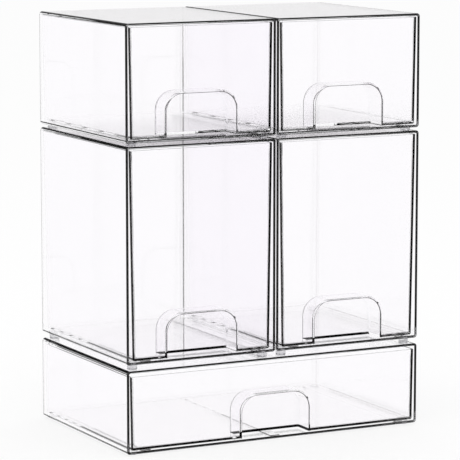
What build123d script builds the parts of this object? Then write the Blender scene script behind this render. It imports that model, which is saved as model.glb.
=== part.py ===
from build123d import *
import os
from math import radians, tan

# Five clear plastic storage units in one stack: a wide low one, two tall ones on it and two short ones above.
# Sizes are in millimetres. X runs left to right, Y from the front to the back and Z up from the ground.

# Cases
stack_width = 320.0
stack_depth = 202.0
pair_gap = 1.0
wide_height = 80.7
tall_height = 208.0
short_height = 112.4
case_wall = 2.5
case_back = 2.5
case_floor = 2.5
case_lid = 2.5
case_edge_round = 3.0
case_inner_round = 0.8
case_back_corner = 3.5
case_inner_corner = 1.0
case_mouth_round = 1.0

# Runners on the case floor
runner_width = 10.0
runner_height = 0.8
runner_inset = 20.5
runner_setback = 2.0

# Drawers
drawer_wall = 2.0
drawer_floor = 2.2
drawer_draft = 0.85
drawer_corner = 2.0
drawer_foot_round = 1.6
drawer_inner_corner = 1.5
drawer_inner_round = 1.0
drawer_lip_round = 0.6
side_clearance = 1.0
back_clearance = 1.5
runner_clearance = 0.3
head_clearance = 1.0
wide_head_clearance = 3.0

# Finger pulls
pull_width = 74.0
pull_height = 41.0
pull_depth = 22.4
pull_corner = 17.0
pull_back_round = 1.5
pull_wall = 2.2
pull_edge_round = 0.7

# Feet
foot_radius = 4.8
foot_round = 0.6
foot_inset = 10.0
foot_setback = 10.0
wide_foot_drop = 1.6
tall_foot_drop = 5.6
short_foot_drop = 3.0
foot_seat_gap = 0.1
stand_gap = 0.1
plug_radius = 2.6
plug_length = 1.3
plug_clearance = 0.1

half_width = (stack_width - pair_gap) / 2
half_centre = (half_width + pair_gap) / 2
front_y = -stack_depth / 2
upright = (Align.CENTER, Align.CENTER, Align.MIN)


def plan(width, depth, back_round):
    """Floor plan with its front edge on the front line and its two back corners rounded."""
    outline = Pos(0, front_y + depth / 2) * Rectangle(width, depth)
    return fillet(outline.vertices().group_by(Axis.Y)[-1], back_round)


def foot_places(width):
    """Middle of each foot of a case, by name."""
    reach_x = width / 2 - foot_inset
    reach_y = stack_depth / 2 - foot_setback
    return {
        "front_left": (-reach_x, -reach_y),
        "front_right": (reach_x, -reach_y),
        "back_left": (-reach_x, reach_y),
        "back_right": (reach_x, reach_y),
    }


def runner_places(width):
    """Middle line of each runner: one near each side, and a third in a case wider than a half unit."""
    reach = width / 2 - runner_inset
    return [-reach, 0, reach] if width > half_width else [-reach, reach]


def closed_edges(block):
    """Top and bottom edges of a block along its sides and back, without the two at the front."""
    levels = block.edges().group_by(Axis.Z)
    return [edge for edge in levels[0] + levels[-1] if edge.center().Y > front_y]


def case_shell(width, height):
    """Clear case, open at the front, standing on Z = 0."""
    body = extrude(plan(width, stack_depth, case_back_corner), height)
    body = fillet(closed_edges(body), case_edge_round)

    inner_depth = stack_depth - case_back
    inner_height = height - case_floor - case_lid
    hollow = extrude(plan(width - 2 * case_wall, inner_depth, case_inner_corner), inner_height)
    hollow = fillet(closed_edges(hollow), case_inner_round)
    body -= Pos(0, 0, case_floor) * hollow

    mouth = body.faces().sort_by(Axis.Y)[0]
    body = fillet(mouth.edges(), case_mouth_round)

    runner_length = inner_depth - runner_setback
    runner = Box(runner_width, runner_length, runner_height, align=(Align.CENTER, Align.MIN, Align.MIN))
    for x in runner_places(width):
        body += Pos(x, front_y + runner_setback, case_floor) * runner

    socket = Cylinder(plug_radius + plug_clearance, plug_length + plug_clearance, align=upright)
    for x, y in foot_places(width).values():
        body -= Pos(x, y, 0) * socket
    return body


def tub_block(top_width, height, length, inset, corner, foot_round):
    """Block that narrows to a rounded bottom by the drawer's draft, set back from the front line by inset."""
    narrowing = 2 * height * tan(radians(drawer_draft))
    middle_y = front_y + inset + length / 2
    bottom = Pos(0, middle_y, 0) * Rectangle(top_width - narrowing, length)
    top = Pos(0, middle_y, height) * Rectangle(top_width, length)
    block = loft([bottom, top], ruled=True)
    upright_edges = block.edges().group_by(Axis.Z)[1]
    block = fillet(upright_edges, corner)
    return fillet(block.edges().group_by(Axis.Z)[0], foot_round)


def pull_block(grow):
    """Arched block of the finger pull, grown by a wall, from the drawer's front line towards the back."""
    width = pull_width + 2 * grow
    height = pull_height + grow
    outline = Pos(0, height / 2) * Rectangle(width, height)
    outline = fillet(outline.vertices().group_by(Axis.Y)[-1], pull_corner + grow)
    block = extrude(Plane.XZ.offset(-front_y) * outline, -(pull_depth + grow))
    back_edges = [edge for edge in block.edges().group_by(Axis.Y)[-1] if edge.center().Z > 0]
    return fillet(back_edges, pull_back_round + grow)


def pull_owns(edge):
    """True of an edge on the arch of the finger pull."""
    middle = edge.center()
    return abs(middle.X) < pull_width / 2 + pull_wall and middle.Z < pull_height + pull_wall


def drawer_tub(width, height, head_room):
    """Clear drawer with its finger pull, in the place it has inside its case."""
    bottom_z = case_floor + runner_height + runner_clearance
    tub_height = height - case_lid - head_room - bottom_z
    top_width = width - 2 * (case_wall + side_clearance)
    length = stack_depth - case_back - back_clearance

    tub = tub_block(top_width, tub_height, length, 0, drawer_corner, drawer_foot_round)
    hollow = tub_block(
        top_width - 2 * drawer_wall,
        tub_height - drawer_floor,
        length - 2 * drawer_wall,
        drawer_wall,
        drawer_inner_corner,
        drawer_inner_round,
    )
    tub -= Pos(0, 0, drawer_floor) * hollow
    tub = fillet(tub.edges().group_by(Axis.Z)[-1], drawer_lip_round)

    tub += pull_block(pull_wall)
    tub -= pull_block(0)
    arch = [edge for edge in tub.edges().group_by(Axis.Y)[0] if pull_owns(edge)]
    tub = fillet(arch, pull_edge_round)
    return Pos(0, 0, bottom_z) * tub


def foot(drop):
    """Soft foot under a case whose underside is Z = 0, with a plug that goes up into the case."""
    pad = Cylinder(foot_radius, drop - foot_seat_gap, align=upright)
    pad = fillet(pad.edges().group_by(Axis.Z)[0], foot_round)
    plug = Pos(0, 0, drop - foot_seat_gap) * Cylinder(plug_radius, plug_length, align=upright)
    return Pos(0, 0, -drop) * (pad + plug)


def make_units(centres, width, height, ground_z, foot_drop, head_room):
    """Write the pieces of like units that stand on the level ground_z, and return the level of their lids."""
    case = case_shell(width, height)
    drawer = drawer_tub(width, height, head_room)
    unit_foot = foot(foot_drop)
    for name, centre_x in centres.items():
        place = Pos(centre_x, 0, ground_z + foot_drop)
        export_step(place * case, f"parts/{name}_case.step")
        export_step(place * drawer, f"parts/{name}_drawer.step")
        for corner, (x, y) in foot_places(width).items():
            export_step(place * Pos(x, y, 0) * unit_foot, f"parts/{name}_foot_{corner}.step")
    return ground_z + foot_drop + height


os.makedirs("parts", exist_ok=True)
wide_unit = {"bottom": 0}
tall_units = {"middle_left": -half_centre, "middle_right": half_centre}
short_units = {"top_left": -half_centre, "top_right": half_centre}
lid_z = make_units(wide_unit, stack_width, wide_height, 0, wide_foot_drop, wide_head_clearance)
lid_z = make_units(tall_units, half_width, tall_height, lid_z + stand_gap, tall_foot_drop, head_clearance)
make_units(short_units, half_width, short_height, lid_z + stand_gap, short_foot_drop, head_clearance)
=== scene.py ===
import bpy
import math
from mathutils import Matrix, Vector


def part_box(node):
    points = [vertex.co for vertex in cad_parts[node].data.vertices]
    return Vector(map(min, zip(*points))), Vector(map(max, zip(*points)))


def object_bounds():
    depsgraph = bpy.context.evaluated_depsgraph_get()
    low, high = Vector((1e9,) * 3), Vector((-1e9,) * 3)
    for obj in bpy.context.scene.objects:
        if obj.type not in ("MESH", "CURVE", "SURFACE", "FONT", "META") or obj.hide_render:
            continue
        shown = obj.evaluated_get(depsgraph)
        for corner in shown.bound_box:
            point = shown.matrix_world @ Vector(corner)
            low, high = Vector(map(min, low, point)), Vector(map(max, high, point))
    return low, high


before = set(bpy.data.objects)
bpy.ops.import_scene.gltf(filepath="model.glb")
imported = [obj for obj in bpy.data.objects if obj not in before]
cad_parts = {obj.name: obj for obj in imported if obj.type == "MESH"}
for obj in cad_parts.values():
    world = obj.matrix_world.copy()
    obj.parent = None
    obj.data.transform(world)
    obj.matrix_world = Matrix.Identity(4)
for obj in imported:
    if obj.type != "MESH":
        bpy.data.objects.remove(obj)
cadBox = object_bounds()
print("frame loaded:", len(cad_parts), "nodes")

unitNames = ["bottom", "middle_left", "middle_right", "top_left", "top_right"]
cornerNames = ["front_left", "front_right", "back_left", "back_right"]


# node helpers

def addNode(tree, kind, **settings):
    node = tree.nodes.new(kind)
    for name, value in settings.items():
        setattr(node, name, value)
    return node


def freshTree(owner, outputKind):
    owner.use_nodes = True
    tree = owner.node_tree
    tree.nodes.clear()
    return tree, addNode(tree, outputKind)


def mathNode(tree, operation, first, second=None):
    node = addNode(tree, "ShaderNodeMath", operation=operation)
    for socket, value in zip(node.inputs, (first, second)):
        if isinstance(value, bpy.types.NodeSocket):
            tree.links.new(value, socket)
        elif value is not None:
            socket.default_value = value
    return node.outputs[0]


def mixColour(tree, factor, first, second):
    node = addNode(tree, "ShaderNodeMix", data_type="RGBA")
    tree.links.new(factor, node.inputs[0])
    for socket, value in zip(node.inputs[6:8], (first, second)):
        if isinstance(value, bpy.types.NodeSocket):
            tree.links.new(value, socket)
        else:
            socket.default_value = (*value, 1)
    return node.outputs[2]


def showMix(tree, factor, first, second, out):
    mix = addNode(tree, "ShaderNodeMixShader")
    tree.links.new(factor, mix.inputs[0])
    tree.links.new(first.outputs[0], mix.inputs[1])
    tree.links.new(second.outputs[0], mix.inputs[2])
    tree.links.new(mix.outputs[0], out.inputs["Surface"])


def rampNode(tree, value, stops):
    node = addNode(tree, "ShaderNodeValToRGB")
    marks = node.color_ramp.elements
    while len(marks) < len(stops):
        marks.new(0.5)
    for mark, (place, shade) in zip(marks, stops):
        mark.position = place
        mark.color = (shade, shade, shade, 1)
    tree.links.new(value, node.inputs[0])
    return node.outputs[0]


def newGroup(name, inputs, outputs):
    tree = bpy.data.node_groups.new(name, "ShaderNodeTree")
    for socketName, value in inputs.items():
        socket = tree.interface.new_socket(socketName, in_out="INPUT", socket_type="NodeSocketFloat")
        socket.default_value = value
    for socketName in outputs:
        tree.interface.new_socket(socketName, in_out="OUTPUT", socket_type="NodeSocketFloat")
    source = addNode(tree, "NodeGroupInput")
    sink = addNode(tree, "NodeGroupOutput")
    return tree, source.outputs, sink.inputs


def placeGroup(tree, group, **values):
    node = addNode(tree, "ShaderNodeGroup", node_tree=group)
    for name, value in values.items():
        node.inputs[name].default_value = value
    return node


# shared effects

haze = {"detail": 4.0, "noiseLow": 0.3, "noiseHigh": 0.7}


def edgeTurnGroup():  # how far a moulded edge has turned up or down, and to the front or back, which shapes the painted shade on rounded edges
    tree, _, sink = newGroup("edgeTurn", {}, ["Level", "Front"])
    geometry = addNode(tree, "ShaderNodeNewGeometry")
    split = addNode(tree, "ShaderNodeSeparateXYZ")
    tree.links.new(geometry.outputs["Normal"], split.inputs[0])
    tree.links.new(mathNode(tree, "ABSOLUTE", split.outputs["Z"]), sink["Level"])
    tree.links.new(mathNode(tree, "ABSOLUTE", split.outputs["Y"]), sink["Front"])
    return tree


def mouldHazeGroup():  # uneven polish of a moulded surface, and the cloudiness under it
    tree, source, sink = newGroup("mouldHaze", {"Scale": 30.0, "Low": 0.0, "High": 0.1}, ["Value", "Cloud"])
    place = addNode(tree, "ShaderNodeTexCoord")
    noise = addNode(tree, "ShaderNodeTexNoise")
    noise.inputs["Detail"].default_value = haze["detail"]
    tree.links.new(place.outputs["Object"], noise.inputs["Vector"])
    tree.links.new(source["Scale"], noise.inputs["Scale"])
    spread = addNode(tree, "ShaderNodeMapRange", clamp=True)
    spread.inputs["From Min"].default_value = haze["noiseLow"]
    spread.inputs["From Max"].default_value = haze["noiseHigh"]
    tree.links.new(noise.outputs[0], spread.inputs["Value"])
    tree.links.new(source["Low"], spread.inputs["To Min"])
    tree.links.new(source["High"], spread.inputs["To Max"])
    tree.links.new(spread.outputs[0], sink["Value"])
    tree.links.new(noise.outputs[0], sink["Cloud"])
    return tree


edgeTurn = edgeTurnGroup()
mouldHaze = mouldHazeGroup()
print("shared effects built")


# clear plastic

commonLook = {
    "hazeScale": 35.0,
    "polish": (0.0, 0.02),
    "rippleStrength": 0.05,
    "rippleDepth": 0.0001,
    "glanceBlend": 0.5,
    "glancePower": 2.0,
    "shadow": (0.96, 0.96, 0.97),
}


def plasticTint(tree, look, cloud):
    tint = mixColour(tree, cloud, look["clear"], look["cloudy"])
    if "shadeProfile" in look:  # painted shade: a rounded edge is coloured dark along a ramp, standing in for the dark surroundings that the edge refracts
        turn = placeGroup(tree, edgeTurn)
        mask = rampNode(tree, turn.outputs[look["along"]], look["shadeProfile"])
        if look.get("outsideOnly"):  # seen through the piece itself, the edge stays clear
            geometry = addNode(tree, "ShaderNodeNewGeometry")
            outside = mathNode(tree, "SUBTRACT", 1.0, geometry.outputs["Backfacing"])
            mask = mathNode(tree, "MULTIPLY", mask, outside)
        tint = mixColour(tree, mask, tint, look["paintedShade"])
    if "glanceShade" in look:  # painted shade: the colour darkens at a glancing angle, standing in for light lost on the longer path through the plastic
        facing = addNode(tree, "ShaderNodeLayerWeight")
        facing.inputs["Blend"].default_value = look["glanceBlend"]
        slant = mathNode(tree, "POWER", facing.outputs["Facing"], look["glancePower"])
        tint = mixColour(tree, slant, tint, look["glanceShade"])
    return tint


def clearPlastic(name, ownLook):
    look = {**commonLook, **ownLook}
    material = bpy.data.materials.new(name)
    tree, out = freshTree(material, "ShaderNodeOutputMaterial")
    plastic = addNode(tree, "ShaderNodeBsdfPrincipled")
    plastic.inputs["Transmission Weight"].default_value = 1.0
    plastic.inputs["IOR"].default_value = look["ior"]

    low, high = look["polish"]
    mould = placeGroup(tree, mouldHaze, Scale=look["hazeScale"], Low=low, High=high)
    tree.links.new(mould.outputs["Value"], plastic.inputs["Roughness"])
    ripple = addNode(tree, "ShaderNodeBump")
    ripple.inputs["Strength"].default_value = look["rippleStrength"]
    ripple.inputs["Distance"].default_value = look["rippleDepth"]
    tree.links.new(mould.outputs["Cloud"], ripple.inputs["Height"])
    tree.links.new(ripple.outputs[0], plastic.inputs["Normal"])
    tree.links.new(plasticTint(tree, look, mould.outputs["Cloud"]), plastic.inputs["Base Color"])

    light = addNode(tree, "ShaderNodeLightPath")
    through = addNode(tree, "ShaderNodeBsdfTransparent")
    through.inputs["Color"].default_value = (*look["shadow"], 1)
    showMix(tree, light.outputs["Is Shadow Ray"], plastic, through, out)
    return material


def clearPlastics(piece, ior, looks):
    return {zone: clearPlastic(f"{piece}_{zone}", {"ior": ior, **look}) for zone, look in looks.items()}


def dress(node, zoneOf, materials):
    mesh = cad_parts[node].data
    low, high = (Vector(corner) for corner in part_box(node))
    zones = list(materials)
    mesh.materials.clear()
    for zone in zones:
        mesh.materials.append(materials[zone])
    for face in mesh.polygons:
        face.material_index = zones.index(zoneOf(face, low, high))


flatTurn = 0.9995  # a flat face has one part of its normal over this
edgeLean = 0.01  # a rounded edge along a lid or floor leans by more than this


def isRounded(face):
    return max(abs(part) for part in face.normal) < flatTurn


def isLevel(face):
    return abs(face.normal.z) > flatTurn


# cases

caseLooks = {
    "skin": {"clear": (0.997, 0.993, 0.999), "cloudy": (0.991, 0.987, 0.995)},
    # painted shade: the lid is a little darker than the walls, and its colour goes much darker at a
    # glancing angle
    "lid": {
        "ior": 1.2,
        "clear": (0.975, 0.968, 0.975),
        "cloudy": (0.955, 0.948, 0.955),
        "glanceShade": (0.4, 0.38, 0.4),
    },
    # painted shade: the inner back corners are a darker grey than the walls
    "innerCorner": {"clear": (0.88, 0.87, 0.88), "cloudy": (0.82, 0.81, 0.82)},
    # painted shade: the outer back corners and the top, back and bottom rounded edges are coloured near
    # black, standing in for the dark the edges refract
    "corner": {
        "clear": (0.975, 0.972, 0.978),
        "cloudy": (0.955, 0.952, 0.96),
        "paintedShade": (0.01, 0.01, 0.01),
        "along": "Front",
        "shadeProfile": [(0.0, 0.3), (0.03, 0.9), (0.66, 0.9), (0.8, 0.1)],
        "outsideOnly": True,
    },
    "topEdge": {
        "ior": 1.08,
        "clear": (0.95, 0.95, 0.96),
        "cloudy": (0.9, 0.9, 0.92),
        "paintedShade": (0.0, 0.0, 0.0),
        "along": "Level",
        "shadeProfile": [(0.0, 0.5), (0.06, 0.5), (0.12, 0.03), (0.5, 0.05), (0.6, 1), (1.0, 1)],
    },
    "backEdge": {
        "ior": 1.08,
        "clear": (0.95, 0.95, 0.96),
        "cloudy": (0.9, 0.9, 0.92),
        "paintedShade": (0.0, 0.0, 0.0),
        "along": "Level",
        "shadeProfile": [(0.0, 0.1), (0.25, 0.4), (0.5, 1), (1.0, 1)],
        "outsideOnly": True,
    },
    "lowEdge": {
        "ior": 1.08,
        "clear": (0.97, 0.97, 0.98),
        "cloudy": (0.94, 0.94, 0.95),
        "paintedShade": (0.0, 0.0, 0.0),
        "along": "Level",
        "shadeProfile": [(0.0, 0.6), (0.05, 1), (0.3, 1), (0.42, 0.05), (0.7, 0.05), (0.8, 0.8), (1.0, 0.8)],
        "outsideOnly": True,
    },
    # painted shade: edges between units or under another unit are a light grey, without the dark line
    "seamEdge": {"clear": (0.96, 0.96, 0.97), "cloudy": (0.92, 0.92, 0.93)},
    # painted shade: the front rim and its top brow are coloured near black, standing in for the dark the
    # rounded rim refracts
    "brow": {
        "clear": (0.9, 0.9, 0.92),
        "cloudy": (0.8, 0.8, 0.82),
        "paintedShade": (0.0, 0.0, 0.0),
        "along": "Front",
        "shadeProfile": [(0.0, 0.2), (0.08, 1), (1.0, 1)],
    },
    "mouth": {
        "clear": (0.9, 0.9, 0.92),
        "cloudy": (0.8, 0.8, 0.82),
        "paintedShade": (0.0, 0.0, 0.0),
        "along": "Front",
        "shadeProfile": [(0.0, 0.2), (0.08, 1), (0.9, 1), (0.98, 0.72)],
    },
}
caseSizes = {  # metres, each a little over the shape it takes in
    "mouth": 0.00105,
    "brow": 0.0036,
    "browUnderTurn": -0.05,
    "seam": 0.0036,
    "edge": 0.0031,
    "corner": 0.0036,
    "lid": 0.003,
    "storey": 0.05,
}
caseMaterials = clearPlastics("case", 1.34, caseLooks)


def caseZone(face, low, high):
    turn, place = face.normal, face.center
    fromTop, fromFloor = high.z - place.z, place.z - low.z
    fromSide = min(place.x - low.x, high.x - place.x)
    fromFront, fromBack = place.y - low.y, high.y - place.y
    if fromFront < caseSizes["mouth"]:
        if fromTop < caseSizes["brow"] and fromSide > caseSizes["brow"]:
            return "brow" if turn.z > caseSizes["browUnderTurn"] else "seamEdge"
        return "mouth"
    if isRounded(face):
        isCovered = high.z < cadBox[1][2] - caseSizes["storey"]
        if abs(place.x) < caseSizes["seam"] and (turn.z < 0 or isCovered):
            return "seamEdge"  # between two units
        if turn.z > edgeLean and fromTop < caseSizes["edge"]:
            return "backEdge" if turn.y > abs(turn.x) else "topEdge"
        if turn.z < -edgeLean and fromFloor < caseSizes["edge"]:
            return "lowEdge"
        if fromSide < caseSizes["corner"] and fromBack < caseSizes["corner"]:
            return "corner" if turn.y > 0 else "innerCorner"
    elif isLevel(face) and fromTop < caseSizes["lid"] and low.z > caseSizes["storey"]:
        return "lid"  # not on the wide unit, whose lid is covered
    return "skin"


for unit in unitNames:
    dress(unit + "_case", caseZone, caseMaterials)
print("clear cases dressed")


# drawers

drawerLooks = {
    "skin": {"clear": (0.997, 0.993, 0.999), "cloudy": (0.991, 0.987, 0.995)},
    # painted shade: the drawer floor is a little darker than the walls
    "floor": {"clear": (0.985, 0.98, 0.985), "cloudy": (0.955, 0.948, 0.955)},
    # painted shade: the lip, front edge and pull rounds are coloured grey to near black, standing in for
    # the dark the edges refract
    "lip": {
        "clear": (0.95, 0.95, 0.96),
        "cloudy": (0.92, 0.92, 0.93),
        "paintedShade": (0.35, 0.35, 0.36),
        "along": "Level",
        "shadeProfile": [(0.0, 0.1), (0.2, 0.8), (0.9, 0.8), (0.99, 0.1)],
    },
    "frontEdge": {
        "clear": (0.95, 0.95, 0.96),
        "cloudy": (0.92, 0.92, 0.93),
        "paintedShade": (0.002, 0.002, 0.002),
        "along": "Front",
        "shadeProfile": [(0.0, 0.1), (0.15, 1), (0.96, 1), (0.995, 0.1)],
    },
    "pullFront": {
        "clear": (0.95, 0.95, 0.96),
        "cloudy": (0.92, 0.92, 0.93),
        "paintedShade": (0.0, 0.0, 0.0),
        "along": "Front",
        "shadeProfile": [(0.0, 0.1), (0.1, 1), (0.92, 1), (0.99, 0.3)],
    },
    "pullBack": {
        "clear": (0.97, 0.97, 0.98),
        "cloudy": (0.94, 0.94, 0.95),
        "paintedShade": (0.002, 0.002, 0.002),
        "along": "Front",
        "shadeProfile": [(0.0, 0), (0.03, 0.3), (0.08, 1), (0.75, 1), (0.85, 0)],
        "outsideOnly": True,
    },
}
drawerSizes = {  # metres
    "floor": 0.003,
    "lip": 0.0008,
    "front": 0.0021,
    "pullHalfWidth": 0.0395,
    "pullHeight": 0.0435,
    "pullEdge": 0.00075,
    "pullBackStart": 0.0195,
    "pullBackEnd": 0.026,
    "pullBackTurn": 0.03,
}
drawerMaterials = clearPlastics("drawer", 1.2, drawerLooks)


def drawerZone(face, low, high):
    turn, place = face.normal, face.center
    fromFront, fromFloor = place.y - low.y, place.z - low.z
    if not isRounded(face):
        return "floor" if isLevel(face) and fromFloor < drawerSizes["floor"] else "skin"
    if turn.z > edgeLean and high.z - place.z < drawerSizes["lip"]:
        return "lip"
    fromMiddle = abs(place.x - (low.x + high.x) / 2)
    onPull = fromMiddle < drawerSizes["pullHalfWidth"] and fromFloor < drawerSizes["pullHeight"]
    if onPull and fromFront < drawerSizes["pullEdge"]:
        return "pullFront"
    if onPull and fromFront > drawerSizes["pullBackStart"] and turn.y > drawerSizes["pullBackTurn"]:
        return "pullBack" if fromFront < drawerSizes["pullBackEnd"] else "skin"
    return "frontEdge" if fromFront < drawerSizes["front"] else "skin"


for unit in unitNames:
    dress(unit + "_drawer", drawerZone, drawerMaterials)
print("clear drawers dressed")


# feet

footLook = {
    "ior": 1.36,
    "clear": (0.86, 0.86, 0.87),
    "cloudy": (0.74, 0.74, 0.76),
    # painted shade: the rounded edges of the feet are coloured dark
    "paintedShade": (0.08, 0.08, 0.09),
    "along": "Level",
    "shadeProfile": [(0.0, 0.1), (0.2, 0.7), (0.9, 0.7), (0.99, 0.1)],
    "hazeScale": 120.0,
    "polish": (0.15, 0.3),
    "shadow": (0.85, 0.85, 0.86),
}
footMaterials = {"all": clearPlastic("footClear", footLook)}


def footZone(face, low, high):
    return "all"


for unit in unitNames:
    for corner in cornerNames:
        dress(f"{unit}_foot_{corner}", footZone, footMaterials)
print("feet dressed")


# studio

studio = {
    "floorSide": 26.0,
    "floorColour": (0.97, 0.97, 0.97),
    "floorWhite": 0.78,
    "skyStrength": 0.92,
    "lampPlace": (-0.6, -0.6, 2.2),
    "lampSide": 1.6,
    "lampPower": 10,
}


def whiteFor(tree, straight):  # straight is the share of white that the camera sees with nothing between
    light = addNode(tree, "ShaderNodeLightPath")
    seen = mathNode(tree, "MULTIPLY", light.outputs["Is Camera Ray"], straight)
    seen = mathNode(tree, "MAXIMUM", seen, light.outputs["Is Glossy Ray"])
    return mathNode(tree, "MAXIMUM", seen, light.outputs["Is Transmission Ray"])


def makeWorld():
    world = bpy.data.worlds.new("studioSky")
    bpy.context.scene.world = world
    tree, out = freshTree(world, "ShaderNodeOutputWorld")
    sky = addNode(tree, "ShaderNodeBackground")
    sky.inputs["Strength"].default_value = studio["skyStrength"]
    white = addNode(tree, "ShaderNodeBackground")
    for node in (sky, white):
        node.inputs["Color"].default_value = (1, 1, 1, 1)
    showMix(tree, whiteFor(tree, 1.0), sky, white, out)


def makeFloor():
    half = studio["floorSide"] / 2
    mesh = bpy.data.meshes.new("studioFloor")
    corners = [(-half, -half, 0), (half, -half, 0), (half, half, 0), (-half, half, 0)]
    mesh.from_pydata(corners, [], [(0, 1, 2, 3)])
    floor = bpy.data.objects.new("studioFloor", mesh)
    bpy.context.scene.collection.objects.link(floor)
    material = bpy.data.materials.new("paleFloor")
    tree, out = freshTree(material, "ShaderNodeOutputMaterial")
    matt = addNode(tree, "ShaderNodeBsdfDiffuse")
    matt.inputs["Color"].default_value = (*studio["floorColour"], 1)
    white = addNode(tree, "ShaderNodeEmission")
    showMix(tree, whiteFor(tree, studio["floorWhite"]), matt, white, out)  # the matt share shows the shadow
    mesh.materials.append(material)


def makeLamp():
    lamp = bpy.data.lights.new("overheadSoftbox", "AREA")
    lamp.size = studio["lampSide"]
    lamp.energy = studio["lampPower"]
    holder = bpy.data.objects.new("overheadSoftbox", lamp)
    bpy.context.scene.collection.objects.link(holder)
    middle = (Vector(cadBox[0]) + Vector(cadBox[1])) / 2
    holder.location = studio["lampPlace"]
    holder.rotation_euler = (middle - Vector(studio["lampPlace"])).to_track_quat("-Z", "Y").to_euler()


makeWorld()
makeFloor()
makeLamp()


# camera

view = {
    "yaw": 27.48,
    "pitch": 8.31,
    "distance": 2.737,
    "lens": 215.2,
    "sensor": 36.0,
    "aim": (-0.0023, -0.0085, 0.1954),
}


def makeCamera():
    yaw, pitch = math.radians(view["yaw"]), math.radians(view["pitch"])
    look = Vector((math.sin(yaw) * math.cos(pitch), math.cos(yaw) * math.cos(pitch), -math.sin(pitch)))
    camera = bpy.data.cameras.new("photoCamera")
    camera.lens = view["lens"]
    camera.sensor_width = view["sensor"]
    holder = bpy.data.objects.new("photoCamera", camera)
    bpy.context.scene.collection.objects.link(holder)
    holder.location = Vector(view["aim"]) - look * view["distance"]
    holder.rotation_euler = look.to_track_quat("-Z", "Y").to_euler()
    bpy.context.scene.camera = holder


makeCamera()
scene = bpy.context.scene
scene.view_settings.view_transform = "Standard"
scene.cycles.max_bounces = 40
scene.cycles.transmission_bounces = 36
scene.cycles.transparent_max_bounces = 40
scene.cycles.glossy_bounces = 8
print("studio, lamp and camera ready")
